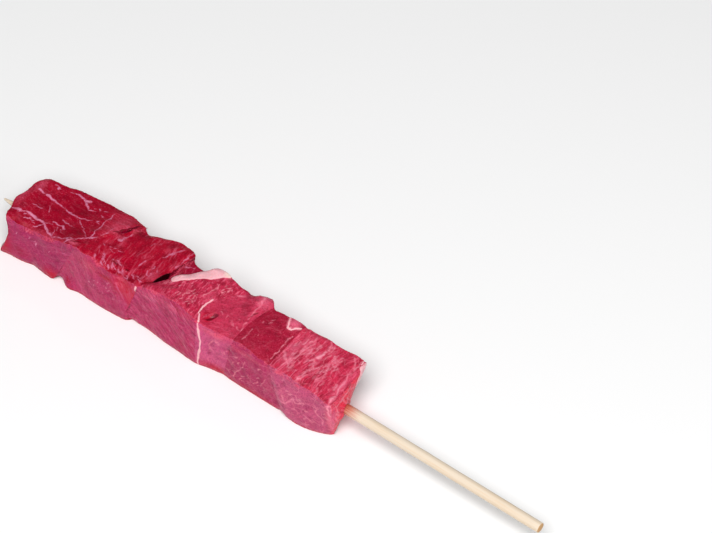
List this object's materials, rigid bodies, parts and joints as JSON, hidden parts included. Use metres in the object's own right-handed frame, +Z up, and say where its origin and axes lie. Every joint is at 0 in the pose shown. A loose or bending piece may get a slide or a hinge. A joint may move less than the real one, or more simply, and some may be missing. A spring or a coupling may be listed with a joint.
{
  "type": "raw lamb kebab skewer",
  "caption": "Raw lamb kebab: knife-cut lean lamb pieces threaded tightly on a round bamboo skewer with a bare handle end.",
  "frame": {"origin": "on the surface that the meat rests on, below the middle of the whole kebab's box", "axes": "+X along the skewer towards its blunt handle end, +Y to the back, +Z up"},
  "size_m": [0.25, 0.0304, 0.0275],
  "materials": {
    "bamboo": "dry, smooth, unvarnished bamboo",
    "raw_lamb": "wet raw lean meat with fine grain and thin fat seams"
  },
  "bodies": {
    "root": {"skewer": "bamboo", "lamb_cube_1": "raw_lamb", "lamb_cube_2": "raw_lamb", "lamb_cube_3": "raw_lamb", "lamb_cube_4": "raw_lamb", "lamb_cube_5": "raw_lamb", "lamb_cube_6": "raw_lamb", "lamb_cube_7": "raw_lamb"}
  },
  "joints": []
}
